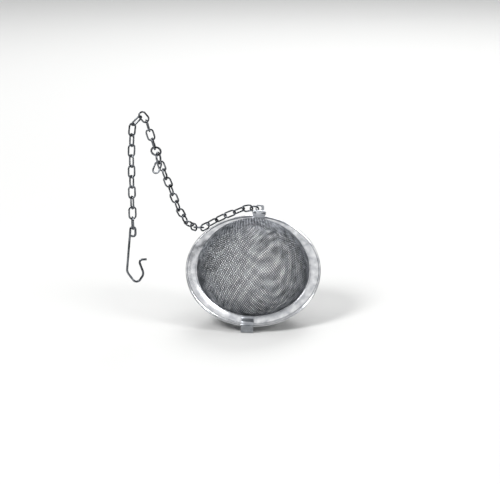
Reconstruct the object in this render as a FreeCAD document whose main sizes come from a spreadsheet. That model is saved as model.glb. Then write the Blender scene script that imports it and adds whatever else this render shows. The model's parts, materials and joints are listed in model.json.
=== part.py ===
import FreeCAD, Part
import math
import os
import Sketcher

# Mesh ball tea infuser: two woven-wire bowls with pressed rims, hinged at one
# edge and clipped at the other, on a chain that ends in a wire hook.
# Millimetres, +Z up. The origin is the point of the floor under the ball, and
# the chain is draped as it hangs over the rim of a glass 86 mm high.

Vector = FreeCAD.Vector
Rotation = FreeCAD.Rotation
Placement = FreeCAD.Placement

doc = FreeCAD.newDocument("tea_infuser")
sheet = doc.addObject("Spreadsheet::Sheet", "sizes")

# name, value (mm or degrees)
SIZES = [
    ("rim_radius", 27.5),
    ("bowl_radius", 23.0),
    ("bowl_depth", 19.5),
    ("mesh_thickness", 0.35),
    ("collar_thickness", 0.4),
    ("skirt_height", 2.0),
    ("collar_height", 0.9),
    ("sheet_thickness", 0.45),
    ("bead_radius", 0.45),
    ("rim_gap", 0.08),
    ("strip_thickness", 0.35),
    ("strip_level", 1.0),
    ("foot_gap", 0.3),
    ("hinge_width", 5.0),
    ("hinge_offset", 29.3),
    ("knuckle_radius", 1.2),
    ("knuckle_gap", 0.1),
    ("pin_radius", 0.5),
    ("pin_clearance", 0.05),
    ("pin_head", 0.8),
    ("lug_width", 3.8),
    ("lug_reach", 34.4),
    ("lug_hole", 1.1),
    ("lug_margin", 0.55),
    ("hole_shift", -0.35),
    ("clip_width", 5.0),
    ("clip_face", 28.05),
    ("clip_foot_gap", 0.4),
    ("clip_drop", 2.4),
    ("hump_start", 24.15),
    ("hump_near", 24.5),
    ("hump_far", 25.5),
    ("hump_end", 26.7),
    ("hump_top", 2.3),
    ("hump_lean", 0.28),
    ("tongue_gap", 0.1),
    ("chain_wire", 0.7),
    ("link_length", 5.6),
    ("link_width", 3.4),
    ("join_wire", 0.8),
    ("lower_join_size", 5.3),
    ("upper_join_size", 4.6),
    ("lug_ring_size", 4.2),
    ("hook_wire", 0.9),
    ("eye_radius", 1.0),
    ("eye_side", 1.7),
    ("eye_start", -118.0),
    ("shank_lean", 5.4),
    ("ring_shift", -0.35),
    ("play", 0.05),
    ("ball_tilt", 40.0),
    ("ball_turn", -5.0),
]

for row, (name, value) in enumerate(SIZES, start=1):
    sheet.set("A" + str(row), name)
    sheet.set("B" + str(row), str(value))
    sheet.setAlias("B" + str(row), name)
doc.recompute()

# The ball lies tilted, with its hinge up at the back and its clip at the front.
BALL_CENTRE = Vector(2.5, 10.0, 20.54)
TILT = Rotation(Vector(1, 0, 0), sheet.ball_tilt)
TURN = Rotation(Vector(0, 0, 1), sheet.ball_turn)
BALL = Placement(BALL_CENTRE, TILT * TURN)
UPPER_HALF = BALL * Placement(Vector(), Rotation(Vector(0, 1, 0), 180))

parts = []


def keep(item, label, placement):
    """Name a finished sub-part and put it in its place."""
    item.Label = label
    item.Placement = placement
    parts.append(item)
    return item


def bind(item, **sizes):
    """Tie an object's sizes to expressions of the sheet's cells."""
    for prop, formula in sizes.items():
        item.setExpression(prop.replace("__", "."), formula)


def origin_plane(body, role):
    return next(item for item in body.Origin.OriginFeatures if item.Role == role)


def new_sketch(body, name, role):
    sketch = body.newObject("Sketcher::SketchObject", name)
    sketch.AttachmentSupport = [(origin_plane(body, role), "")]
    sketch.MapMode = "FlatFace"
    return sketch


def draw_outline(sketch, pieces):
    """Add lines and arcs in order, joined end to start, and close them."""
    for piece in pieces:
        sketch.addGeometry(piece)
    last = len(pieces) - 1
    for index in range(last):
        sketch.addConstraint(Sketcher.Constraint("Coincident", index, 2, index + 1, 1))
    sketch.addConstraint(Sketcher.Constraint("Coincident", last, 2, 0, 1))


def line(start, end):
    return Part.LineSegment(Vector(*start), Vector(*end))


def polygon(points):
    corners = [tuple(point) + (0,) for point in points]
    return [line(corners[i - 1], corners[i]) for i in range(len(corners))]


def turned_body(name, pieces):
    """A body made by turning an outline in the XZ plane about the Z axis."""
    body = doc.addObject("PartDesign::Body", name)
    sketch = new_sketch(body, name + "_section", "XZ_Plane")
    for piece in pieces:
        sketch.addGeometry(piece)
    doc.recompute()
    turned = body.newObject("PartDesign::Revolution", name + "_turned")
    turned.Profile = sketch
    turned.ReferenceAxis = (sketch, ["V_Axis"])
    turned.Angle = 360
    return body


def arc_through(start, middle, end):
    return Part.Arc(Vector(*start, 0), Vector(*middle, 0), Vector(*end, 0))


# ---- the two woven bowls ----

def bowl_section():
    """A short straight skirt and a spherical cap, both one mesh thick."""
    outer = sheet.bowl_radius
    inner = outer - sheet.mesh_thickness
    top = -sheet.rim_gap
    skirt = top - sheet.skirt_height
    rise = sheet.bowl_depth + skirt
    sphere = (outer ** 2 + rise ** 2) / (2 * rise)
    centre = sphere - sheet.bowl_depth
    hollow = sphere - sheet.mesh_thickness
    floor = centre - hollow
    half_angle = math.asin(outer / sphere) / 2
    inner_angle = math.asin(inner / hollow)
    skirt_inside = centre - hollow * math.cos(inner_angle)
    outside_mid = (sphere * math.sin(half_angle), centre - sphere * math.cos(half_angle))
    inside_mid = (hollow * math.sin(inner_angle / 2), centre - hollow * math.cos(inner_angle / 2))
    return [
        line((inner, top, 0), (outer, top, 0)),
        line((outer, top, 0), (outer, skirt, 0)),
        arc_through((outer, skirt), outside_mid, (0, -sheet.bowl_depth)),
        line((0, -sheet.bowl_depth, 0), (0, floor, 0)),
        arc_through((0, floor), inside_mid, (inner, skirt_inside)),
        line((inner, skirt_inside, 0), (inner, top, 0)),
    ]


def rim_section():
    """A flat flange with a rolled outer bead and a collar round the mesh."""
    inner = sheet.bowl_radius
    collar = inner + sheet.collar_thickness
    bead = sheet.bead_radius
    bead_centre = sheet.rim_radius - bead
    top = -sheet.rim_gap
    under = top - sheet.sheet_thickness
    skirt = top - sheet.collar_height
    low = (bead_centre + bead * math.sin(math.pi / 4), under - bead * math.sin(math.pi / 4))
    return [
        line((inner, top, 0), (bead_centre, top, 0)),
        arc_through((bead_centre, top), low, (bead_centre - bead, under)),
        line((bead_centre - bead, under, 0), (collar, under, 0)),
        line((collar, under, 0), (collar, skirt, 0)),
        line((collar, skirt, 0), (inner, skirt, 0)),
        line((inner, skirt, 0), (inner, top, 0)),
    ]


keep(turned_body("lower_bowl", bowl_section()), "lower_mesh_bowl", BALL)
keep(turned_body("upper_bowl", bowl_section()), "upper_mesh_bowl", UPPER_HALF)
keep(turned_body("lower_ring", rim_section()), "lower_rim", BALL)
keep(turned_body("upper_ring", rim_section()), "upper_rim", UPPER_HALF)


# ---- hinge ----
# In the ball's own frame Y runs towards the hinge and Z away from the lower bowl.

def box(name, length, width, height, corner):
    """A box: sizes and its low corner are expressions of the sheet's cells."""
    item = doc.addObject("Part::Box", name)
    bind(item, Length=length, Width=width, Height=height)
    bind(item, Placement__Base__x=corner[0], Placement__Base__y=corner[1], Placement__Base__z=corner[2])
    return item


def cross_cylinder(name, radius, length, start, level="0"):
    """A cylinder along X, centred on the hinge axis unless a level is given."""
    item = doc.addObject("Part::Cylinder", name)
    item.Placement = Placement(Vector(), Rotation(Vector(0, 1, 0), 90))
    bind(item, Radius=radius, Height=length)
    bind(item, Placement__Base__x=start, Placement__Base__z=level)
    bind(item, Placement__Base__y="sizes.hinge_offset")
    return item


def fuse(name, items):
    item = doc.addObject("Part::MultiFuse", name)
    item.Shapes = items
    return item


def cut(name, base, tool):
    item = doc.addObject("Part::Cut", name)
    item.Base = base
    item.Tool = tool
    return item


FOOT_START = "sizes.bowl_radius + sizes.collar_thickness + sizes.foot_gap"
FOOT_END = "sizes.rim_radius - 3 * sizes.bead_radius"
UNDER_SHEET = "(sizes.rim_gap + sizes.sheet_thickness)"
LEAF_BOTTOM = "-(sizes.strip_level + sizes.strip_thickness)"
THIRD = "(sizes.hinge_width / 4)"


def lower_leaf():
    """Welded foot, strip with two knuckles, and the lug that holds the chain."""
    foot = box("leaf_foot", "sizes.hinge_width", FOOT_END + " - (" + FOOT_START + ")",
               "sizes.strip_level - " + UNDER_SHEET,
               ("-sizes.hinge_width / 2", FOOT_START, "-sizes.strip_level"))
    strip = box("leaf_strip", "sizes.hinge_width",
                "sizes.hinge_offset + sizes.knuckle_radius - (" + FOOT_START + ")",
                "sizes.strip_thickness", ("-sizes.hinge_width / 2", FOOT_START, LEAF_BOTTOM))
    lug = box("leaf_lug", "sizes.lug_width", "sizes.lug_reach - sizes.hinge_offset",
              "sizes.strip_thickness", ("-sizes.lug_width / 2", "sizes.hinge_offset", LEAF_BOTTOM))
    left = cross_cylinder("leaf_knuckle_left", "sizes.knuckle_radius", THIRD, "-sizes.hinge_width / 2")
    right = cross_cylinder("leaf_knuckle_right", "sizes.knuckle_radius", THIRD, THIRD)
    solid = fuse("leaf_solid", [foot, strip, lug, left, right])
    slot = box("leaf_slot", "2 * " + THIRD, "2 * (sizes.knuckle_radius + 2 * sizes.knuckle_gap)",
               "2 * sizes.strip_level",
               ("-" + THIRD, "sizes.hinge_offset - sizes.knuckle_radius - 2 * sizes.knuckle_gap",
                "-2 * sizes.strip_level"))
    bore = cross_cylinder("leaf_bore", "sizes.pin_radius", "2 * sizes.hinge_width", "-sizes.hinge_width")
    hole = doc.addObject("Part::Cylinder", "leaf_hole")
    bind(hole, Radius="sizes.lug_hole", Height="4 * sizes.strip_level", Placement__Base__x="sizes.hole_shift",
         Placement__Base__y="sizes.lug_reach - sizes.lug_hole - sizes.lug_margin",
         Placement__Base__z="-4 * sizes.strip_level")
    return cut("leaf_lower", solid, fuse("leaf_lower_voids", [slot, bore, hole]))


def upper_leaf():
    """Welded foot, strip, and the single middle knuckle."""
    foot = box("lid_foot", "sizes.hinge_width", FOOT_END + " - (" + FOOT_START + ")",
               "sizes.strip_level - " + UNDER_SHEET,
               ("-sizes.hinge_width / 2", FOOT_START, UNDER_SHEET))
    strip = box("lid_strip", "sizes.hinge_width",
                "sizes.hinge_offset - 1.4 * sizes.knuckle_radius - (" + FOOT_START + ")",
                "sizes.strip_thickness", ("-sizes.hinge_width / 2", FOOT_START, "sizes.strip_level"))
    neck = box("lid_neck", "2 * (" + THIRD + " - sizes.knuckle_gap)",
               "sizes.hinge_offset - (" + FOOT_START + ")",
               "sizes.knuckle_radius - sizes.strip_level",
               ("sizes.knuckle_gap - " + THIRD, FOOT_START, "sizes.strip_level"))
    knuckle = cross_cylinder("lid_knuckle", "sizes.knuckle_radius",
                             "2 * (" + THIRD + " - sizes.knuckle_gap)", "sizes.knuckle_gap - " + THIRD)
    solid = fuse("lid_solid", [foot, strip, neck, knuckle])
    bore = cross_cylinder("lid_bore", "sizes.pin_radius + sizes.pin_clearance",
                          "2 * sizes.hinge_width", "-sizes.hinge_width")
    return cut("leaf_upper", solid, bore)


def hinge_pin():
    """A plain pin with a flat head outside each end knuckle."""
    shank = cross_cylinder("pin_shank", "sizes.pin_radius", "sizes.hinge_width", "-sizes.hinge_width / 2")
    left = cross_cylinder("pin_head_left", "sizes.pin_head", "sizes.strip_thickness",
                          "-sizes.hinge_width / 2 - sizes.strip_thickness")
    right = cross_cylinder("pin_head_right", "sizes.pin_head", "sizes.strip_thickness",
                           "sizes.hinge_width / 2")
    return fuse("pin_solid", [shank, left, right])


keep(lower_leaf(), "lower_hinge_leaf", BALL)
keep(upper_leaf(), "upper_hinge_leaf", BALL)
keep(hinge_pin(), "hinge_pin", BALL)


# ---- clip and catch, opposite the hinge ----

def strip_body(name, outline, width):
    """A bent strip: its side view in the YZ plane, as wide as asked along X."""
    body = doc.addObject("PartDesign::Body", name)
    sketch = new_sketch(body, name + "_side", "YZ_Plane")
    draw_outline(sketch, polygon(outline))
    doc.recompute()
    pad = body.newObject("PartDesign::Pad", name + "_pad")
    pad.Profile = sketch
    pad.Midplane = True
    pad.setExpression("Length", width)
    return body


def clip_outline():
    """Foot on the upper rim, a hump, a face down past both beads, and a lip to push."""
    foot_start = -(sheet.bowl_radius + sheet.collar_thickness + sheet.clip_foot_gap)
    under = sheet.rim_gap + sheet.sheet_thickness
    level = sheet.strip_level
    thick = sheet.strip_thickness
    top = sheet.hump_top
    lean = sheet.hump_lean
    slope_shift = sheet.hump_lean - thick / 2
    face = -sheet.clip_face
    drop = sheet.clip_drop * thick
    return [
        (foot_start, under), (foot_start, under + thick), (-sheet.hump_start, under + thick),
        (-sheet.hump_near, top), (-sheet.hump_far, top), (-sheet.hump_end, level + thick),
        (face - thick, level + thick), (face - thick, -level - thick), (face - drop, -level - drop),
        (face - drop + thick, -level - drop), (face, -level), (face, level),
        (-sheet.hump_end + slope_shift, level), (-sheet.hump_far + slope_shift, top - thick),
        (-sheet.hump_near - lean, top - thick), (-sheet.hump_start - lean, under),
    ]


def catch_outline():
    """Foot under the lower rim and a tongue that ends just inside the clip."""
    foot_start = -(sheet.bowl_radius + sheet.collar_thickness + sheet.clip_foot_gap)
    foot_end = -(sheet.rim_radius - 3 * sheet.bead_radius)
    under = -(sheet.rim_gap + sheet.sheet_thickness)
    level = -sheet.strip_level
    thick = sheet.strip_thickness
    tip = -(sheet.clip_face - sheet.tongue_gap)
    return [
        (foot_start, under), (foot_start, level - thick), (tip, level - thick),
        (tip, level), (foot_end, level), (foot_end, under),
    ]


keep(strip_body("clip", clip_outline(), "sizes.clip_width"), "latch_clip", BALL)
CATCH_WIDTH = "sizes.clip_width - 2 * sizes.strip_thickness"
keep(strip_body("catch", catch_outline(), CATCH_WIDTH), "latch_catch", BALL)


# ---- chain ----

def tie_wire(section, formula):
    """Hold a wire's round section to the sheet's size."""
    index = section.addConstraint(Sketcher.Constraint("Radius", 0, section.Geometry[0].Radius))
    section.renameConstraint(index, "wire_radius")
    section.setExpression("Constraints.wire_radius", formula)


def oval_body(name, straight, radius, wire):
    """A closed wire loop in its own XY plane, long along X, centred on the origin."""
    body = doc.addObject("PartDesign::Body", name)
    path = new_sketch(body, name + "_path", "XY_Plane")
    side = straight / 2
    upright = Vector(0, 0, 1)
    right = Part.ArcOfCircle(Part.Circle(Vector(side, 0, 0), upright, radius), -math.pi / 2, math.pi / 2)
    left = Part.ArcOfCircle(Part.Circle(Vector(-side, 0, 0), upright, radius), math.pi / 2, 1.5 * math.pi)
    draw_outline(path, [right, line((side, radius, 0), (-side, radius, 0)),
                        left, line((-side, -radius, 0), (side, -radius, 0))])
    section = new_sketch(body, name + "_section", "YZ_Plane")
    section.addGeometry(Part.Circle(Vector(radius, 0, 0), upright, wire / 2))
    section.addConstraint(Sketcher.Constraint("PointOnObject", 0, 3, -1))
    section.addConstraint(Sketcher.Constraint("DistanceX", -1, 1, 0, 3, radius))
    tie_wire(section, "sizes.chain_wire / 2")
    doc.recompute()
    pipe = body.newObject("PartDesign::AdditivePipe", name + "_wire")
    pipe.Profile = section
    pipe.Spine = (path, [])
    return body


HOOK_STEPS = [
    # run length, turn in degrees (left is positive) and its radius
    (16.2, 41.0, 3.0),
    (3.0, 112.0, 1.7),
    (1.5, 52.0, 2.6),
    (3.2, -107.0, 1.25),
    (1.6, 0.0, 1.0),
]


def hook_path():
    """Eye, long shank, round bend, short leg and a tip turned outwards."""
    radius = sheet.eye_radius
    side = sheet.eye_side
    upright = Vector(0, 0, 1)
    bottom = Part.Circle(Vector(0, -radius - side, 0), upright, radius)
    top = Part.Circle(Vector(0, -radius, 0), upright, radius)
    lean = math.radians(sheet.shank_lean)
    pieces = [
        Part.ArcOfCircle(bottom, math.radians(sheet.eye_start), 0),
        line((radius, -radius - side, 0), (radius, -radius, 0)),
        Part.ArcOfCircle(top, 0, math.pi - lean),
    ]
    place = Vector(-radius * math.cos(lean), -radius + radius * math.sin(lean), 0)
    heading = -math.pi / 2 - lean
    for run, turn, bend in HOOK_STEPS:
        ahead = Vector(math.cos(heading), math.sin(heading), 0)
        pieces.append(Part.LineSegment(place, place + ahead * run))
        place = place + ahead * run
        if turn:
            side_way = math.copysign(1, turn)
            centre = place + Vector(-ahead.y, ahead.x, 0) * bend * side_way
            sweep = math.radians(turn)
            middle = centre + Rotation(upright, turn / 2).multVec(place - centre)
            end = centre + Rotation(upright, turn).multVec(place - centre)
            pieces.append(Part.Arc(place, middle, end))
            place = end
            heading = heading + sweep
    print("hook tip", round(place.x, 2), round(place.y, 2))
    return pieces


def hook_body():
    """One bent wire in the XY plane, its eye's top at the origin, pointing down Y."""
    body = doc.addObject("PartDesign::Body", "hook_wire_body")
    path = new_sketch(body, "hook_path", "XY_Plane")
    for piece in hook_path():
        path.addGeometry(piece)
    section = new_sketch(body, "hook_section", "YZ_Plane")
    section.addGeometry(Part.Circle(Vector(0, 0, 0), Vector(0, 0, 1), sheet.hook_wire / 2))
    tie_wire(section, "sizes.hook_wire / 2")
    start = path.Geometry[0].StartPoint
    ahead = Rotation(Vector(0, 0, 1), sheet.eye_start + 90).multVec(Vector(1, 0, 0))
    section.AttachmentSupport = []
    section.MapMode = "Deactivated"
    section.Placement = Placement(start, Rotation(Vector(0, 0, 1), ahead))
    doc.recompute()
    pipe = body.newObject("PartDesign::AdditivePipe", "hook_pipe")
    pipe.Profile = section
    pipe.Spine = (path, [])
    return body


def blend_route(points, spacing=0.5):
    """Points closely spaced along the straight runs of a route."""
    dense = []
    for start, end in zip(points, points[1:]):
        count = max(1, round((end - start).Length / spacing))
        for step in range(count):
            dense.append(start + (end - start) * (step / count))
    dense.append(points[-1])
    return dense


def rim_edge_points(angles, radius, level):
    """Points beside the ball's rim, at angles from the hinge towards the left."""
    points = []
    for angle in angles:
        turn = math.radians(angle)
        points.append(BALL.multVec(Vector(-radius * math.sin(turn), radius * math.cos(turn), level)))
    return points


# The chain runs round the edge of the rim, sags, climbs the inside of the
# glass, crosses its rim and hangs outside.
ROUTE = rim_edge_points([13, 20], sheet.rim_radius + 3.4, -0.8)
ROUTE += rim_edge_points([28, 36, 44, 51], sheet.rim_radius + 2.9, -0.8)
ROUTE += [
    Vector(-22.0, 20.3, 35.4),
    Vector(-25.2, 14.8, 39.4),
    Vector(-28.0, 10.4, 46.5),
    Vector(-31.6, 5.0, 58.0),
    Vector(-35.6, -0.6, 70.5),
    Vector(-38.4, -4.2, 80.5),
    Vector(-39.6, -5.5, 86.0),
    Vector(-42.0, -7.0, 88.6),
    Vector(-45.0, -7.8, 86.4),
    Vector(-45.2, -8.0, 83.0),
    Vector(-45.2, -8.0, 60.0),
    Vector(-44.8, -8.0, 20.0),
]


class Piece:
    """Where one wire loop of the chain sits: its start, direction and plane."""

    def __init__(self, name, kind, start, ahead, normal, size, wire, crown, pivot, axis, parent):
        self.name = name
        self.kind = kind
        self.start = start
        self.ahead = ahead
        self.normal = normal
        self.size = size
        self.wire = wire
        self.crown = crown
        self.pivot = pivot
        self.axis = axis
        self.parent = parent

    def crown_centre(self):
        return self.start + self.ahead * (self.size - self.crown)

    def middle(self):
        return self.start + self.ahead * (self.size / 2)

    def rotation(self):
        return Rotation(self.ahead, Vector(), self.normal, "ZXY")


def loop_sizes(kind):
    """Centreline length, wire and end radius of one kind of loop."""
    if kind == "link":
        wire = sheet.chain_wire
        return sheet.link_length - wire, wire, (sheet.link_width - wire) / 2
    if kind == "hook":
        return 2 * sheet.eye_radius + sheet.eye_side, sheet.hook_wire, sheet.eye_radius
    wire = sheet.chain_wire if kind == "lug_ring" else sheet.join_wire
    outside = getattr(sheet, kind + "_size")
    return outside - wire, wire, (outside - wire) / 2


def hang_next(parent, name, kind, ahead, roll=0.0, side=1):
    """Thread the next loop through the end of its parent, wire on wire."""
    size, wire, crown = loop_sizes(kind)
    outward = ahead - parent.normal * ahead.dot(parent.normal)
    outward.normalize()
    pivot = parent.crown_centre() + outward * parent.crown
    axis = parent.normal.cross(outward) * side
    start = pivot - ahead * ((parent.wire + wire) / 2 + sheet.play)
    normal = axis - ahead * axis.dot(ahead)
    normal.normalize()
    normal = Rotation(ahead, roll).multVec(normal)
    return Piece(name, kind, start, ahead, normal, size, wire, crown, pivot, axis, parent)


def nearest_index(dense, place, first):
    """The point of the route nearest to a place, searched onwards from first."""
    window = range(first, min(len(dense), first + 30))
    return min(window, key=lambda index: (dense[index] - place).Length)


def aim(dense, place, first, reach):
    """Direction from a place to the route, one loop further on."""
    here = nearest_index(dense, place, first)
    target = here
    while target < len(dense) - 1 and (dense[target] - place).Length < reach:
        target += 1
    ahead = dense[target] - place
    ahead.normalize()
    return ahead, here


LUG_LEVEL = -sheet.strip_level - sheet.strip_thickness / 2
LUG_HOLE = Vector(sheet.hole_shift, sheet.lug_reach - sheet.lug_hole - sheet.lug_margin, LUG_LEVEL)
LINKS_BELOW_JOIN = 17
LINKS_ABOVE_JOIN = 15
# first link, last link, and how far each of them is turned about its own length
ROLLS = [(2, 9, 7.5), (18, 21, 9.0), (29, 32, 5.0)]
HOOK_ROLL = 12.0
HOOK_SIDE = 1


def lug_ring():
    """The ring through the lug: it goes round the lug's left edge."""
    size, wire, crown = loop_sizes("lug_ring")
    turned = BALL.Rotation
    ahead = turned.multVec(Vector(-0.9, 0.0, -0.43))
    ahead.normalize()
    normal = turned.multVec(Vector(0, 1, 0))
    hole = BALL.multVec(LUG_HOLE + Vector(sheet.ring_shift, 0, 0))
    axis = turned.multVec(Vector(0, 0, 1))
    return Piece("lug_ring", "lug_ring", hole, ahead, normal, size, wire, crown, hole, axis, None)


def roll_of(number):
    """Small turns of each link about its own length, by its place in the chain."""
    return sum(roll for first, last, roll in ROLLS if first <= number <= last)


def chain_pieces():
    """Every loop of the chain in order, from the lug to the hook."""
    dense = blend_route(ROUTE)
    kinds = ["link"] * LINKS_BELOW_JOIN + ["lower_join", "upper_join"] + ["link"] * LINKS_ABOVE_JOIN
    chain = [lug_ring()]
    here = 0
    number = 0
    for kind in kinds:
        last = chain[-1]
        end = last.crown_centre() + last.ahead * last.crown
        reach = loop_sizes(kind)[0]
        ahead, here = aim(dense, end, here, reach)
        if kind == "link":
            number += 1
            chain.append(hang_next(last, "chain_link_%02d" % number, kind, ahead, roll_of(number)))
        else:
            chain.append(hang_next(last, kind + "_ring", kind, ahead))
    chain.append(hang_next(chain[-1], "hook", "hook", Vector(0, 0, -1), HOOK_ROLL, HOOK_SIDE))
    join = next(piece for piece in chain if piece.kind == "lower_join")
    chain.append(hang_next(join, "spare_link", "link", Vector(-0.35, -0.35, -0.87).normalize()))
    return chain


def loop_object(piece):
    """The sub-part for one loop of the chain."""
    if piece.kind == "link":
        straight = piece.size - 2 * piece.crown
        item = oval_body(piece.name + "_loop", straight, piece.crown, piece.wire)
        return item, Placement(piece.middle(), piece.rotation())
    if piece.kind == "hook":
        down = Rotation(Vector(0, 0, 1), 90)
        return hook_body(), Placement(piece.start, piece.rotation() * down)
    item = doc.addObject("Part::Torus", piece.name + "_loop")
    size = "sizes." + piece.kind + "_size"
    wire = "sizes.chain_wire" if piece.kind == "lug_ring" else "sizes.join_wire"
    bind(item, Radius1="(" + size + " - " + wire + ") / 2", Radius2=wire + " / 2")
    return item, Placement(piece.middle(), piece.rotation())


chain = chain_pieces()
for piece in chain:
    item, place = loop_object(piece)
    keep(item, piece.name, place)


# ---- check and write ----

doc.recompute()
for item in doc.Objects:
    if "Invalid" in item.State or "Error" in item.State:
        raise RuntimeError(item.Name + " failed: " + str(item.State))

os.makedirs("parts", exist_ok=True)
for item in parts:
    shape = item.Shape
    if shape.isNull() or not shape.isValid():
        raise RuntimeError(item.Label + " has no valid shape")
    shape.exportStep("parts/" + item.Label + ".step")
    box_size = shape.BoundBox
    print(item.Label, round(shape.Volume, 2), len(shape.Solids), [round(v, 1) for v in box_size.Center])
print(len(parts), "sub-parts")
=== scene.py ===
import math

import bmesh
import bpy
import numpy
from mathutils import Matrix, Vector
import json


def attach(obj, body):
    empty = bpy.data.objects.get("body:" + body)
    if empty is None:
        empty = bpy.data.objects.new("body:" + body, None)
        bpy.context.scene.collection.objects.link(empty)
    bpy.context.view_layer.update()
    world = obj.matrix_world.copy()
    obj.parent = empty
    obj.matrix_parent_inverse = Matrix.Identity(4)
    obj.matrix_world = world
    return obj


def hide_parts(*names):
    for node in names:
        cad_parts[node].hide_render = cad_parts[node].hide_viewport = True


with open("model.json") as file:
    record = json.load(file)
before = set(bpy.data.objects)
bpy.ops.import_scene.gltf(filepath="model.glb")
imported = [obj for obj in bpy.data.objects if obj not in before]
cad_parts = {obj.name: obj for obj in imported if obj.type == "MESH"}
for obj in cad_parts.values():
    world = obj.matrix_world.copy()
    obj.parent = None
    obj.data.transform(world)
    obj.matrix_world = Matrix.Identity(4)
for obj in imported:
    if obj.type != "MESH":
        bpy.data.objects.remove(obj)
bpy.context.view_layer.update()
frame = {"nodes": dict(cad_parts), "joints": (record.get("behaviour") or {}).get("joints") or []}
nodes = frame["nodes"]
mm = 0.001

# Mesh ball tea infuser in stainless steel. Lengths in the dictionaries are millimetres,
# and each piece is shaped round its own origin and then carried to where its node lies.


def toLinear(hexColour):
    channels = [int(hexColour[i:i + 2], 16) / 255 for i in (0, 2, 4)]
    linear = [c / 12.92 if c <= 0.04045 else ((c + 0.055) / 1.055) ** 2.4 for c in channels]
    return (*linear, 1.0)


# settings name properties or inputs, with _ for a space; links are (input, output socket) pairs
def addNode(tree, kind, links=(), **settings):
    node = tree.nodes.new(kind)
    for name, value in settings.items():
        if hasattr(node, name) and name not in node.inputs:
            setattr(node, name, value)
        else:
            node.inputs[name.replace("_", " ")].default_value = value
    for name, source in links:
        tree.links.new(source, node.inputs[name])
    return node


# (position, hex colour) pairs for a colour ramp
def fillRamp(ramp, stops):
    elements = ramp.color_ramp.elements
    while len(elements) < len(stops):
        elements.new(0.5)
    for element, (position, _) in zip(elements, stops):
        element.position = position
    # a second pass, because moving an element can reorder the ramp
    for element, (_, colour) in zip(elements, stops):
        element.color = toLinear(colour)


# centre and axes of a mesh, longest first, weighed by face area
def principalFrame(obj):
    mesh = obj.data
    mesh.calc_loop_triangles()
    areas = numpy.array([t.area for t in mesh.loop_triangles])
    corners = numpy.array([[mesh.vertices[i].co[:] for i in t.vertices] for t in mesh.loop_triangles])
    middles = corners.mean(axis=1)
    centre = (middles * areas[:, None]).sum(axis=0) / areas.sum()
    # second moments of the triangles, exact when taken from their edge mid-points
    edges = (corners + numpy.roll(corners, 1, axis=1)) / 2 - centre
    moments = numpy.einsum("t,tei,tej->ij", areas / 3, edges, edges)
    _, vectors = numpy.linalg.eigh(moments)
    axes = [Vector(vectors[:, i]) for i in (2, 1, 0)]
    return Vector(centre), axes


# from a piece's own millimetres to its place in metres
def frameMatrix(centre, xAxis, yAxis, zAxis):
    matrix = Matrix((xAxis, yAxis, zAxis)).transposed().to_4x4()
    matrix.translation = centre
    return matrix @ Matrix.Scale(mm, 4)


# cleans a bmesh, carries it to its place and hands it to its body; points under 2 micrometres apart are one
def finishPiece(name, bm, matrix, body, material, replaced=(), sharp=35):
    bmesh.ops.remove_doubles(bm, verts=bm.verts, dist=0.002)
    bmesh.ops.recalc_face_normals(bm, faces=bm.faces)
    bmesh.ops.transform(bm, matrix=matrix, verts=bm.verts)
    mesh = bpy.data.meshes.new(name)
    bm.to_mesh(mesh)
    bm.free()
    mesh.shade_smooth()
    mesh.set_sharp_from_angle(angle=math.radians(sharp))
    obj = bpy.data.objects.new(name, mesh)
    bpy.context.scene.collection.objects.link(obj)
    obj.data.materials.append(material)
    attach(obj, body)
    if replaced:
        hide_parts(*replaced)
    return obj


# a round wire laid in the XY plane: each step is (run, turn in degrees, bend radius),
# and it has an edge ring about every bendStep degrees or runStep millimetres
def bentWire(start, heading, steps, wire, segments=10, bendStep=15, runStep=3):
    bm = bmesh.new()
    place = Vector((start[0], start[1], 0))
    made = bmesh.ops.create_circle(bm, cap_ends=True, segments=segments, radius=wire / 2)
    turn = Matrix.Rotation(math.radians(heading), 4, "Z") @ Matrix.Rotation(math.pi / 2, 4, "Y")
    bmesh.ops.transform(bm, matrix=Matrix.Translation(place) @ turn, verts=made["verts"])
    ring = [e for e in bm.edges]
    angle = math.radians(heading)
    for run, bend, radius in steps:
        ahead = Vector((math.cos(angle), math.sin(angle), 0))
        if run:
            pieces = max(1, round(run / runStep))
            for _ in range(pieces):
                grown = bmesh.ops.extrude_edge_only(bm, edges=ring)["geom"]
                verts = [g for g in grown if isinstance(g, bmesh.types.BMVert)]
                ring = [g for g in grown if isinstance(g, bmesh.types.BMEdge)]
                bmesh.ops.translate(bm, vec=ahead * (run / pieces), verts=verts)
            place = place + ahead * run
        if bend:
            side = math.copysign(1, bend)
            centre = place + Vector((-ahead.y, ahead.x, 0)) * radius * side
            sweep = math.radians(bend)
            geom = ring + list({v for e in ring for v in e.verts})
            spun = bmesh.ops.spin(bm, geom=geom, cent=centre, axis=(0, 0, 1), dvec=(0, 0, 0),
                                  angle=sweep, steps=max(2, round(abs(bend) / bendStep)), use_duplicate=False)
            ring = [g for g in spun["geom_last"] if isinstance(g, bmesh.types.BMEdge)]
            place = centre + Matrix.Rotation(sweep, 3, "Z") @ (place - centre)
            angle += sweep
    bmesh.ops.contextual_create(bm, geom=ring)
    return bm


# an outline of (radius, height) points spun about the Z axis; one that starts on the axis is left open
def spunShell(outline, steps=144):
    bm = bmesh.new()
    verts = [bm.verts.new((r, 0, z)) for r, z in outline]
    first = 1 if outline[0][0] == 0 else 0
    edges = [bm.edges.new((verts[i - 1], verts[i])) for i in range(first, len(verts))]
    bmesh.ops.spin(bm, geom=verts + edges, cent=(0, 0, 0), axis=(0, 0, 1), dvec=(0, 0, 0),
                   angle=2 * math.pi, steps=steps, use_merge=True, use_duplicate=False)
    return bm


# points along an arc, angles in degrees
def arcPoints(centre, radius, first, last, count):
    turns = [math.radians(first + (last - first) * i / count) for i in range(count + 1)]
    return [(centre[0] + radius * math.cos(t), centre[1] + radius * math.sin(t)) for t in turns]


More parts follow.
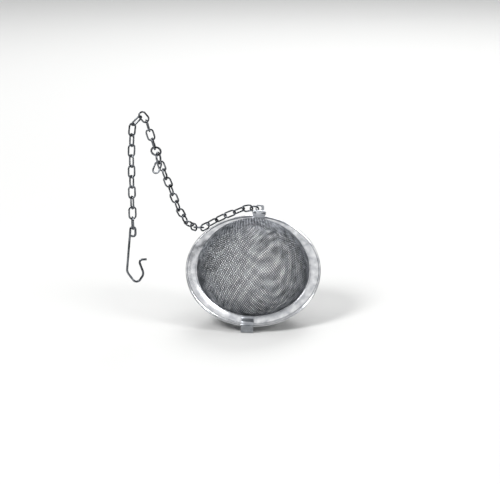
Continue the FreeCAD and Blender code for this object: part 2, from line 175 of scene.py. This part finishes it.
view = {
    "target": (1.2, 0.0, 34.6),
    "elevation": 13.5,
    "distance": 700.0,
    "frameWidth": 200.0,
    "sensor": 36.0,
    "nearest": 0.05,        # metres
    "farthest": 20.0,
}


def makeCamera():
    data = bpy.data.cameras.new("productCamera")
    data.sensor_width = view["sensor"]
    data.lens = view["sensor"] * view["distance"] / view["frameWidth"]
    data.clip_start = view["nearest"]
    data.clip_end = view["farthest"]
    camera = bpy.data.objects.new("productCamera", data)
    bpy.context.scene.collection.objects.link(camera)
    lift = math.radians(view["elevation"])
    back = Vector((0, -math.cos(lift), math.sin(lift)))
    camera.location = (Vector(view["target"]) + back * view["distance"]) * mm
    camera.rotation_euler = (math.pi / 2 - lift, 0, 0)
    bpy.context.scene.camera = camera


studio = {
    "floorSize": 8.0,
    "floorColour": "C9C9C8",
    "floorRoughness": 0.9,
    "aim": (0.0, 0.0, 0.03),    # where every light points, in metres
    # name, place in metres, size in metres, watts
    "lights": [
        ("keyLight", (-0.75, -0.65, 0.95), 0.5, 15.0),
        ("fillLight", (0.95, -0.45, 0.6), 0.4, 6.0),
        ("backLight", (0.15, 0.95, 0.85), 0.6, 9.0),
    ],
    # the room's brightness from the horizon to straight up
    "roomStops": [(0.0, "0C0D0F"), (0.2, "26282B"), (0.5, "85888C"), (0.88, "FFFFFF")],
    "roomStrength": 1.05,
}


def makeStudio():
    bm = bmesh.new()
    bmesh.ops.create_grid(bm, x_segments=1, y_segments=1, size=studio["floorSize"] / 2)
    mesh = bpy.data.meshes.new("studioFloor")
    bm.to_mesh(mesh)
    bm.free()
    floor = bpy.data.objects.new("studioFloor", mesh)
    bpy.context.scene.collection.objects.link(floor)
    paper = bpy.data.materials.new("palePaper")
    paper.use_nodes = True
    shader = paper.node_tree.nodes["Principled BSDF"]
    shader.inputs["Base Color"].default_value = toLinear(studio["floorColour"])
    shader.inputs["Roughness"].default_value = studio["floorRoughness"]
    mesh.materials.append(paper)
    for name, place, size, power in studio["lights"]:
        data = bpy.data.lights.new(name, "AREA")
        data.shape = "DISK"
        data.size = size
        data.energy = power
        light = bpy.data.objects.new(name, data)
        bpy.context.scene.collection.objects.link(light)
        light.location = place
        aim = Vector(studio["aim"]) - Vector(place)
        light.rotation_euler = aim.to_track_quat("-Z", "Y").to_euler()


# a soft room: bright above, dim towards the horizon, so that steel has something dark to show
def makeWorld():
    world = bpy.data.worlds.new("studioRoom")
    bpy.context.scene.world = world
    world.use_nodes = True
    tree = world.node_tree
    tree.nodes.clear()
    where = addNode(tree, "ShaderNodeTexCoord")
    split = addNode(tree, "ShaderNodeSeparateXYZ", [("Vector", where.outputs["Generated"])])
    ramp = addNode(tree, "ShaderNodeValToRGB", [("Fac", split.outputs["Z"])])
    fillRamp(ramp, studio["roomStops"])
    back = addNode(tree, "ShaderNodeBackground", [("Color", ramp.outputs["Color"])],
                   Strength=studio["roomStrength"])
    addNode(tree, "ShaderNodeOutputWorld", [("Surface", back.outputs["Background"])])
    bpy.context.scene.view_settings.view_transform = "Standard"


makeCamera()
makeStudio()
makeWorld()
print("camera, floor and light are set")


ball = {
    "rimRadius": 27.5,
    "bowlRadius": 23.0,
    "bowlDepth": 19.5,
    "rimGap": 0.08,
    "skirtHeight": 2.0,     # straight part of each woven bowl
    "collarHeight": 0.72,   # turned edge of the rim, outside the skirt
    "sheet": 0.45,
    "beadRadius": 0.45,
    "collarSheet": 0.4,
    "hingeOffset": 29.3,
}


# the ball's own frame: X along the hinge pin, Y towards the hinge, Z out of the front half
def ballFrame():
    lidJoint = next(j for j in frame["joints"] if j["name"] == "lid_hinge")
    xAxis = -Vector(lidJoint["axis"]).normalized()
    _, axes = principalFrame(nodes["lower_rim"])
    zAxis = axes[2] if axes[2].z > 0 else -axes[2]
    zAxis = (zAxis - xAxis * zAxis.dot(xAxis)).normalized()
    yAxis = zAxis.cross(xAxis)
    origin = Vector(lidJoint["pos_m"]) - yAxis * ball["hingeOffset"] * mm
    return frameMatrix(origin, xAxis, yAxis, zAxis)


lowerHalf = ballFrame()
upperHalf = lowerHalf @ Matrix.Rotation(math.pi, 4, "Y")


steelLooks = {
    # bright colour, dull colour, lowest and highest roughness
    "sheet": ("DCDDDF", "B2B4B8", 0.12, 0.3),
    "strip": ("A9ACB0", "84878C", 0.2, 0.38),
    "wire": ("74777C", "36393D", 0.14, 0.34),
    "mesh": ("94979C", "55585D", 0.24, 0.42),
}


metalPatterns = {
    "cloud": 0.35,          # per mm: clouds about 3 mm across
    "scratch": 3.0,         # per mm: marks about a third of a millimetre long
    "rings": 1.1,           # per mm: turning rings about 0.3 mm apart
    "wear": 350.0,          # per metre: rubbed patches about 3 mm long
    "grain": 2500.0,        # per metre: die marks about 0.4 mm long
    "ringBump": 0.12,
    "grainBump": 0.15,
    "bumpDepth": 0.00002,   # metres
}


def newMetal(name):
    material = bpy.data.materials.new(name)
    material.use_nodes = True
    tree = material.node_tree
    shader = tree.nodes["Principled BSDF"]
    shader.inputs["Metallic"].default_value = 1.0
    return material, tree, shader


def polishedSheet(name, bright, dull, low, high):
    # 304 stainless sheet, pressed on a lathe and buffed: fine rings round the ball's axis,
    # a soft cloudiness from handling, and small scratches that catch the light
    material, tree, shader = newMetal(name)
    where = addNode(tree, "ShaderNodeTexCoord")
    inBall = lowerHalf.inverted()
    place = addNode(tree, "ShaderNodeMapping", [("Vector", where.outputs["Object"])])
    place.inputs["Scale"].default_value = inBall.to_scale()
    place.inputs["Rotation"].default_value = inBall.to_euler()
    place.inputs["Location"].default_value = inBall.to_translation()
    cloud = addNode(tree, "ShaderNodeTexNoise", [("Vector", place.outputs["Vector"])],
                    Scale=metalPatterns["cloud"], Detail=4.0)
    scratch = addNode(tree, "ShaderNodeTexNoise", [("Vector", place.outputs["Vector"])],
                      Scale=metalPatterns["scratch"], Detail=6.0, Distortion=1.5)
    rings = addNode(tree, "ShaderNodeTexWave", [("Vector", place.outputs["Vector"])], wave_type="RINGS",
                    rings_direction="Z", Scale=metalPatterns["rings"], Distortion=0.6, Detail=2.0)
    tone = addNode(tree, "ShaderNodeValToRGB", [("Fac", cloud.outputs["Fac"])])
    fillRamp(tone, [(0.3, dull), (0.7, bright)])
    tree.links.new(tone.outputs["Color"], shader.inputs["Base Color"])
    gloss = addNode(tree, "ShaderNodeMapRange", [("Value", scratch.outputs["Fac"])],
                    To_Min=low, To_Max=high)
    tree.links.new(gloss.outputs["Result"], shader.inputs["Roughness"])
    bump = addNode(tree, "ShaderNodeBump", [("Height", rings.outputs["Fac"])],
                   Strength=metalPatterns["ringBump"], Distance=metalPatterns["bumpDepth"])
    tree.links.new(bump.outputs["Normal"], shader.inputs["Normal"])
    return material


def drawnWire(name, bright, dull, low, high):
    # stainless wire drawn through a die: bright along its sides, dulled where it has been bent and rubbed
    material, tree, shader = newMetal(name)
    where = addNode(tree, "ShaderNodeTexCoord")
    wear = addNode(tree, "ShaderNodeTexNoise", [("Vector", where.outputs["Object"])],
                   Scale=metalPatterns["wear"], Detail=5.0)
    grain = addNode(tree, "ShaderNodeTexNoise", [("Vector", where.outputs["Object"])],
                    Scale=metalPatterns["grain"], Detail=3.0)
    tone = addNode(tree, "ShaderNodeValToRGB", [("Fac", wear.outputs["Fac"])])
    fillRamp(tone, [(0.35, dull), (0.62, bright)])
    tree.links.new(tone.outputs["Color"], shader.inputs["Base Color"])
    gloss = addNode(tree, "ShaderNodeMapRange", [("Value", wear.outputs["Fac"])], To_Min=high, To_Max=low)
    tree.links.new(gloss.outputs["Result"], shader.inputs["Roughness"])
    bump = addNode(tree, "ShaderNodeBump", [("Height", grain.outputs["Fac"])],
                   Strength=metalPatterns["grainBump"], Distance=metalPatterns["bumpDepth"])
    tree.links.new(bump.outputs["Normal"], shader.inputs["Normal"])
    return material


sheetSteel = polishedSheet("polishedStainlessSheet", *steelLooks["sheet"])
# the hinge and clip are cut from cold-rolled spring strip, which is greyer and duller than the buffed rims
stripSteel = polishedSheet("coldRolledSpringStrip", *steelLooks["strip"])
chainSteel = drawnWire("drawnChainWire", *steelLooks["wire"])
meshSteel = drawnWire("wovenMeshWire", *steelLooks["mesh"])
print("finishes are made")


weave = {
    "pitch": 0.85,          # a little coarser than the real cloth may be, so that its wires show
    "wire": 0.3,
    "lift": 0.12,          # how far a wire rises and falls as it passes over and under
    "turn": 38.0,          # how the cloth lies in the bowl
    "pointsPerCrossing": 2,
    "short": 0.15,          # how far the cloth's edge stays below the rim's top
}


# the skirt's foot, the cap's outer radius and its cloth's, and the reach along the cloth to the skirt
def bowlMeasures():
    skirt = -ball["rimGap"] - ball["skirtHeight"]
    rise = ball["bowlDepth"] + skirt
    sphere = (ball["bowlRadius"] ** 2 + rise ** 2) / (2 * rise)
    middle = sphere - weave["wire"] / 2 - weave["lift"]
    return skirt, sphere, middle, math.asin(ball["bowlRadius"] / sphere) * middle


# a point of the flat cloth, drawn down over the bowl's cap and up its skirt
def clothPoint(along, across, lift):
    skirt, sphere, middle, capReach = bowlMeasures()
    reach = math.hypot(along, across)
    turn = math.atan2(across, along)
    if reach <= capReach:
        fall = reach / middle
        radius = (middle + lift) * math.sin(fall)
        height = sphere - ball["bowlDepth"] - (middle + lift) * math.cos(fall)
    else:
        radius = ball["bowlRadius"] - weave["wire"] / 2 - weave["lift"] + lift
        height = skirt + reach - capReach
    return Vector((radius * math.cos(turn), radius * math.sin(turn), height))


# all the wires of one direction of one bowl's cloth, as one curve turned to mesh
def wovenSet(name, matrix, body, crossways, replaced):
    curve = bpy.data.curves.new(name, "CURVE")
    curve.dimensions = "3D"
    curve.bevel_depth = weave["wire"] / 2
    curve.bevel_resolution = 0
    curve.use_fill_caps = False
    limit = bowlMeasures()[3] + ball["skirtHeight"] - weave["short"]
    pitch = weave["pitch"]
    count = int(limit / pitch)
    spin = Matrix.Rotation(math.radians(weave["turn"]), 4, "Z")
    step = pitch / weave["pointsPerCrossing"]
    for row in range(-count, count + 1):
        across = row * pitch
        half = math.sqrt(max(0.0, limit ** 2 - across ** 2))
        if half < pitch:
            continue
        stops = int(half / step)
        places = [-half] + [i * step for i in range(-stops, stops + 1)] + [half]
        spline = curve.splines.new("POLY")
        spline.points.add(len(places) - 1)
        for point, along in zip(spline.points, places):
            wave = math.cos(math.pi * (along / pitch + row)) * weave["lift"]
            if crossways:
                place = clothPoint(across, along, -wave)
            else:
                place = clothPoint(along, across, wave)
            point.co = (*(spin @ place), 1.0)
    curveObject = bpy.data.objects.new(name + "Curve", curve)
    bpy.context.scene.collection.objects.link(curveObject)
    bpy.context.view_layer.update()
    mesh = bpy.data.meshes.new_from_object(curveObject.evaluated_get(bpy.context.evaluated_depsgraph_get()))
    bpy.data.objects.remove(curveObject)
    bpy.data.curves.remove(curve)
    mesh.name = name
    mesh.transform(matrix)
    mesh.materials.clear()
    mesh.materials.append(meshSteel)
    mesh.shade_smooth()
    obj = bpy.data.objects.new(name, mesh)
    bpy.context.scene.collection.objects.link(obj)
    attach(obj, body)
    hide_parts(replaced)
    return obj


for half, matrix in (("lower", lowerHalf), ("upper", upperHalf)):
    for crossways, label in ((False, "warp"), (True, "weft")):
        wovenSet(half + "_mesh_" + label, matrix, half + "_half", crossways, half + "_mesh_bowl")
print("woven bowls are made")


rim = {
    "lipRadius": 0.12,      # the collar's rolled lower lip
    "fillet": 0.1,          # where the flange turns into the collar
    "stepRadius": 24.6,     # a shallow pressed groove in the flange
    "stepDepth": 0.22,
    "stepRun": 0.25,        # its inner wall, measured outwards
    "stepEnds": (0.9, 0.6),     # its outer wall, measured inwards from the bead's centre
    "mouth": 0.06,          # small break of the inner edge
}


# one half's section, flange under Z = 0: flat top, rolled bead, collar and its lip
def rimOutline():
    inner = ball["bowlRadius"]
    top = -ball["rimGap"]
    under = top - ball["sheet"]
    bead = ball["beadRadius"]
    beadCentre = (ball["rimRadius"] - bead, under)
    collar = inner + ball["collarSheet"]
    lip = rim["lipRadius"]
    foot = top - ball["collarHeight"]
    step = rim["stepRadius"]
    deep = top - rim["stepDepth"]
    wallFoot, wallTop = rim["stepEnds"]
    outline = [(inner, top - rim["mouth"]), (inner + rim["mouth"], top), (step, top),
               (step + rim["stepRun"], deep), (beadCentre[0] - wallFoot, deep),
               (beadCentre[0] - wallTop, top)]
    outline += arcPoints(beadCentre, bead, 90, -180, 14)
    outline += [(collar + rim["fillet"], under), (collar, under - rim["fillet"])]
    outline += arcPoints((collar - lip, foot + lip), lip, 0, -90, 6)
    outline += [(inner, foot)]
    return outline


for half, matrix in (("lower", lowerHalf), ("upper", upperHalf)):
    finishPiece(half + "_rim_pressed", spunShell(rimOutline()), matrix, half + "_half", sheetSteel,
                [half + "_rim"], sharp=50)
print("rims are made")


chain = {
    "linkLength": 5.6,
    "linkWidth": 3.4,
    "linkWire": 0.7,
    "lugRing": (4.2, 0.7),
    "lowerJoin": (5.3, 0.8),
    "upperJoin": (4.6, 0.8),
    "linkCut": 0.06,        # the joint where a link's ends meet
    "cut": 0.12,            # the slit where a round ring's ends meet
}


# one oval link, its ends meeting in the middle of one side
def linkWire():
    radius = (chain["linkWidth"] - chain["linkWire"]) / 2
    straight = chain["linkLength"] - chain["linkWidth"]
    part = (straight - chain["linkCut"]) / 2
    steps = [(part, 180, radius), (straight, 180, radius), (part, 0, 0)]
    return bentWire((chain["linkCut"] / 2, -radius), 0, steps, chain["linkWire"], segments=12)


# a round ring of wire, bent shut with a fine slit left between its ends
def ringWire(size, wire):
    radius = (size - wire) / 2
    slit = math.degrees(chain["cut"] / radius)
    steps = [(0, 360 - slit, radius)]
    return bentWire((0, -radius), 0, steps, wire, segments=12, bendStep=10)


def loopMatrix(name):
    centre, axes = principalFrame(nodes[name])
    return frameMatrix(centre, axes[0], axes[2].cross(axes[0]), axes[2])


links = sorted(name for name in nodes if name.startswith("chain_link_")) + ["spare_link"]
for name in links:
    finishPiece(name + "_wire", linkWire(), loopMatrix(name), name, chainSteel, [name])
rings = (("lug_ring", "lugRing"), ("lower_join_ring", "lowerJoin"), ("upper_join_ring", "upperJoin"))
for name, key in rings:
    finishPiece(name + "_wire", ringWire(*chain[key]), loopMatrix(name), name, chainSteel, [name])
print("chain is made:", len(links), "links")


hook = {
    "wire": 0.9,
    "eyeRadius": 1.0,
    "eyeSide": 1.7,
    "eyeStart": -140.0,     # where the wire's end lies, beside the shank
    "lean": 5.4,
    "gap": 0.85,            # from the last link's wire up to the eye's wire
    # run, turn in degrees, bend radius, from the eye's left side to the tip
    "steps": [(16.2, 41.0, 3.0), (3.0, 112.0, 1.7), (1.5, 52.0, 2.6), (3.2, -107.0, 1.25), (1.6, 0.0, 1.0)],
}


def hookWire():
    radius = hook["eyeRadius"]
    low = -radius - hook["eyeSide"]
    first = math.radians(hook["eyeStart"])
    start = (radius * math.cos(first), low + radius * math.sin(first))
    steps = [(0, -hook["eyeStart"], radius), (hook["eyeSide"], 180 - hook["lean"], radius)] + hook["steps"]
    return bentWire(start, hook["eyeStart"] + 90, steps, hook["wire"], segments=16, bendStep=9)


# hangs from its own joint: X towards the tip, Y up
def hookMatrix():
    swing = next(j for j in frame["joints"] if j["name"] == "hook_swing")
    _, axes = principalFrame(nodes["hook"])
    up = Vector((0, 0, 1))
    side = up.cross(axes[2]).normalized()
    side = side if side.x > 0 else -side
    origin = Vector(swing["pos_m"]) + up * hook["gap"] * mm
    return frameMatrix(origin, side, up, side.cross(up))


finishPiece("hook_bent_wire", hookWire(), hookMatrix(), "hook", chainSteel, ["hook"])
print("hook is made")


hinge = {
    "width": 5.0,
    "footStart": 23.75,
    "footEnd": 26.1,
    "sheet": 0.35,
    "level": 1.0,           # underside of each strip, from the plane where the rims meet
    "knuckle": 1.2,
    "knuckleInside": 0.62,
    "side": 1.25,           # from the middle to each outer knuckle
    "play": 0.1,
    "pin": 0.5,
    "pinHead": 0.8,
    "pinDome": [(1.0, 0.01), (1.0, 0.12), (0.6, 0.3), (0.0, 0.35)],    # share of the radius, height
    "lugHalf": 1.9,
    "lugEnd": 34.4,
    "lugTipHalf": 1.35,
    "lugCorner": 0.9,
    "lugFlare": 0.35,       # how far the tip's corners stand out from its half width
    "lugTurn": (12, 90),    # degrees of each rounded tip corner
    "neckPlay": 0.1,        # from the knuckles to where the leaf narrows
    "neckRun": 0.5,
    "footCorner": 0.3,
    "hole": (-0.35, 32.75, 1.1),    # x, y, radius
    "slotPlay": 0.2,        # room round the knuckles in the lower leaf
    "padInset": 0.2,        # how much narrower the packing under the lower leaf is
    # y, height from the foot for the first two, from the bridge for the others
    "rise": [(25.0, 0.0), (25.3, 0.08), (25.7, -0.08), (26.0, 0.0)],
    "tongueStart": 1.4,     # knuckle radii before the pin
    "tongueEnd": 28.3,
    "upperRoll": (122, -160),       # degrees round the pin, first and last
    "lowerRoll": (-90, 200),
    "edge": 0.07,           # rounding of the cut edges
    "skin": 0.01,           # air left between the strips and the rims
    "weldSpread": 1.2,
    "upperWeld": 24.5,
    "lowerWeld": 24.9,
    "weldRadius": 0.42,
    "weldFlat": 0.22,       # a weld's height as a share of its radius
}
clip = {
    "half": 2.45,
    "footStart": -23.85,
    "humpTop": 2.28,
    # y, share of the rise from the foot, and from the bridge
    "humpSide": [(-24.12, 0.0), (-24.25, 0.12), (-24.42, 0.86), (-24.6, 1.0)],
    "humpSlope": [(-25.35, 1.0), (-25.65, 0.9), (-26.45, 0.14), (-26.8, 0.0)],
    "face": -28.05,
    "bend": 0.4,
    "bendLead": 0.1,        # flat run before the bend
    "drop": 0.84,           # how far the lip's tip stands out from the face
    "lip": (0.06, 0.3, 1.14),       # how the lip starts outwards, its start and end under the face
    "catchHalf": 1.75,
    "catchPath": [(-25.4, 0.0), (-25.8, 0.1)],     # y, drop from the rim
    "catchLevel": -26.2,
    "catchTip": -27.95,
}


# rounds every edge that turns by more than 30 degrees
def softenEdges(bm):
    bm.normal_update()
    edges = [e for e in bm.edges if len(e.link_faces) == 2 and e.calc_face_angle(0) > math.radians(30)]
    bmesh.ops.bevel(bm, geom=edges, offset=hinge["edge"], offset_type="OFFSET", segments=2, profile=0.5,
                    affect="EDGES", material=-1, clamp_overlap=True)


def addLoop(bm, points):
    verts = [bm.verts.new(p) for p in points]
    return [bm.edges.new((verts[i - 1], verts[i])) for i in range(len(verts))]


# a sheet cut to the first loop, with the other loops as holes, thickened along push
def cutSheet(loops, push):
    bm = bmesh.new()
    edges = [e for loop in loops for e in addLoop(bm, loop)]
    bmesh.ops.triangle_fill(bm, use_beauty=True, edges=edges)
    grown = bmesh.ops.extrude_face_region(bm, geom=bm.faces[:])["geom"]
    bmesh.ops.translate(bm, vec=push, verts=[g for g in grown if isinstance(g, bmesh.types.BMVert)])
    bmesh.ops.recalc_face_normals(bm, faces=bm.faces)
    bmesh.ops.dissolve_limit(bm, angle_limit=0.01, verts=bm.verts, edges=bm.edges,
                             use_dissolve_boundaries=False)
    softenEdges(bm)
    return bm


# a strip that follows (y, z) points, in columns along X; a cell goes where missing(x, y) holds at its middle
def bentStrip(path, columns, thick, missing=None):
    bm = bmesh.new()
    verts = [bm.verts.new((columns[0], y, z)) for y, z in path]
    line = [bm.edges.new((verts[i], verts[i + 1])) for i in range(len(verts) - 1)]
    for last, place in zip(columns, columns[1:]):
        grown = bmesh.ops.extrude_edge_only(bm, edges=line)["geom"]
        line = [g for g in grown if isinstance(g, bmesh.types.BMEdge)]
        verts = [g for g in grown if isinstance(g, bmesh.types.BMVert)]
        bmesh.ops.translate(bm, vec=(place - last, 0, 0), verts=verts)
    if missing:
        gone = [face for face in bm.faces if missing(*face.calc_center_median().xy)]
        bmesh.ops.delete(bm, geom=gone, context="FACES")
    bmesh.ops.recalc_face_normals(bm, faces=bm.faces)
    bmesh.ops.solidify(bm, geom=bm.faces[:], thickness=thick)
    bmesh.ops.recalc_face_normals(bm, faces=bm.faces)
    softenEdges(bm)
    return bm


# adds one bmesh's shape to another and lets the first go
def joinInto(bm, other):
    mesh = bpy.data.meshes.new("joined")
    other.to_mesh(mesh)
    other.free()
    bm.from_mesh(mesh)
    bpy.data.meshes.remove(mesh)


# a strip's end rolled round the pin, as a section in YZ pushed along X
def rolledKnuckle(start, end, first, last):
    centre = (ball["hingeOffset"], 0)
    outside = arcPoints(centre, hinge["knuckle"], first, last, 24)
    inside = arcPoints(centre, hinge["knuckleInside"], last, first, 20)
    section = [(start, y, z) for y, z in outside + inside]
    return cutSheet([section], (end - start, 0, 0))


# the two low buttons left by spot welds, side by side
def addWelds(bm, y, z):
    for x in (-hinge["weldSpread"], hinge["weldSpread"]):
        made = bmesh.ops.create_icosphere(bm, subdivisions=2, radius=hinge["weldRadius"])
        bmesh.ops.scale(bm, vec=(1, 1, hinge["weldFlat"]), verts=made["verts"])
        bmesh.ops.translate(bm, vec=(x, y, z), verts=made["verts"])


# (x, y) corners of the lower leaf: a full-width strip that narrows to a tapered, rounded lug
def leafOutline():
    half = hinge["width"] / 2
    neck = ball["hingeOffset"] + hinge["knuckle"] + hinge["neckPlay"]
    corner = hinge["lugCorner"]
    cut = hinge["footCorner"]
    tipCentre = (hinge["lugTipHalf"] - corner + hinge["lugFlare"], hinge["lugEnd"] - corner)
    shape = [(half, hinge["footStart"] + cut), (half, neck), (hinge["lugHalf"], neck + hinge["neckRun"])]
    shape += arcPoints(tipCentre, corner, *hinge["lugTurn"], 8)
    shape += [(-x, y) for x, y in reversed(shape)]
    shape += [(-half + cut, hinge["footStart"]), (half - cut, hinge["footStart"])]
    return shape


# how far each rim's outer face lies from the plane where they meet, with a skin of air
def rimFace():
    return ball["rimGap"] + ball["sheet"] + hinge["skin"]


def lowerLeaf():
    low = -hinge["level"] - hinge["sheet"]
    reach = hinge["knuckle"] + hinge["slotPlay"]
    slotStart = ball["hingeOffset"] - reach
    slotEnd = ball["hingeOffset"] + reach
    side = hinge["side"]
    slot = [(-side, slotStart, low), (side, slotStart, low), (side, slotEnd, low), (-side, slotEnd, low)]
    x, y, radius = hinge["hole"]
    hole = [(a, b, low) for a, b in arcPoints((x, y), radius, 0, 345, 23)]
    outline = [(a, b, low) for a, b in leafOutline()]
    bm = cutSheet([outline, slot, hole], (0, 0, hinge["sheet"]))
    half = hinge["width"] / 2
    for start, end in ((-half, -side), (side, half)):
        joinInto(bm, rolledKnuckle(start, end, *hinge["lowerRoll"]))
    pad = half - hinge["padInset"]
    start, end = hinge["footStart"], hinge["footEnd"]
    foot = [(-pad, start), (pad, start), (pad, end), (-pad, end)]
    level = hinge["level"]
    joinInto(bm, cutSheet([[(a, b, -level) for a, b in foot]], (0, 0, level - rimFace())))
    addWelds(bm, hinge["lowerWeld"], low)
    return bm


def upperLeaf():
    top = hinge["level"] + hinge["sheet"]
    low = rimFace() + hinge["sheet"]
    half = hinge["width"] / 2
    tongue = hinge["side"] - hinge["play"]
    edge = ball["hingeOffset"] - hinge["tongueStart"] * hinge["knuckle"]
    rise = [(y, (low if i < 2 else top) + shift) for i, (y, shift) in enumerate(hinge["rise"])]
    path = [(hinge["footStart"], low)] + rise + [(edge, top), (hinge["tongueEnd"], top)]
    bm = bentStrip(path, [-half, -tongue, tongue, half], -hinge["sheet"],
                   lambda x, y: y > edge and abs(x) > tongue)
    joinInto(bm, rolledKnuckle(-tongue, tongue, *hinge["upperRoll"]))
    addWelds(bm, hinge["upperWeld"], low)
    return bm


# shank and domed heads, along Z until it is turned along the hinge
def pinShell():
    half = hinge["width"] / 2
    head = hinge["pinHead"]
    end = [(hinge["pin"], half)] + [(head * share, half + height) for share, height in hinge["pinDome"]]
    return spunShell([(r, -z) for r, z in reversed(end)] + end, steps=32)


def clipStrip():
    sheet = hinge["sheet"]
    low = rimFace() + sheet
    top = hinge["level"] + sheet
    face = clip["face"] - sheet
    bend = clip["bend"]
    path = [(clip["footStart"], low)]
    path += [(y, low + share * (clip["humpTop"] - low)) for y, share in clip["humpSide"]]
    path += [(y, top + share * (clip["humpTop"] - top)) for y, share in clip["humpSlope"]]
    path.append((face + bend + clip["bendLead"], top))
    path += arcPoints((face + bend, top - bend), bend, 90, 180, 6)
    foot = -hinge["level"]
    lean, lipStart, lipEnd = clip["lip"]
    path += [(face, foot), (face - lean, foot - lipStart), (face - clip["drop"], foot - lipEnd)]
    return bentStrip(path, [-clip["half"], clip["half"]], -sheet)


def catchStrip():
    top = -rimFace()
    low = -hinge["level"]
    path = [(clip["footStart"], top)] + [(y, top - drop) for y, drop in clip["catchPath"]]
    path += [(clip["catchLevel"], low), (clip["catchTip"], low)]
    return bentStrip(path, [-clip["catchHalf"], clip["catchHalf"]], hinge["sheet"])


acrossHinge = (lowerHalf @ Matrix.Translation((0, ball["hingeOffset"], 0))
               @ Matrix.Rotation(math.pi / 2, 4, "Y"))
finishPiece("lower_leaf_cut", lowerLeaf(), lowerHalf, "lower_half", stripSteel, ["lower_hinge_leaf"])
finishPiece("upper_leaf_cut", upperLeaf(), lowerHalf, "upper_half", stripSteel, ["upper_hinge_leaf"])
finishPiece("pin_domed", pinShell(), acrossHinge, "lower_half", stripSteel, ["hinge_pin"])
finishPiece("clip_bent", clipStrip(), lowerHalf, "upper_half", stripSteel, ["latch_clip"])
finishPiece("catch_bent", catchStrip(), lowerHalf, "lower_half", stripSteel, ["latch_catch"])
print("hinge and clip are made")
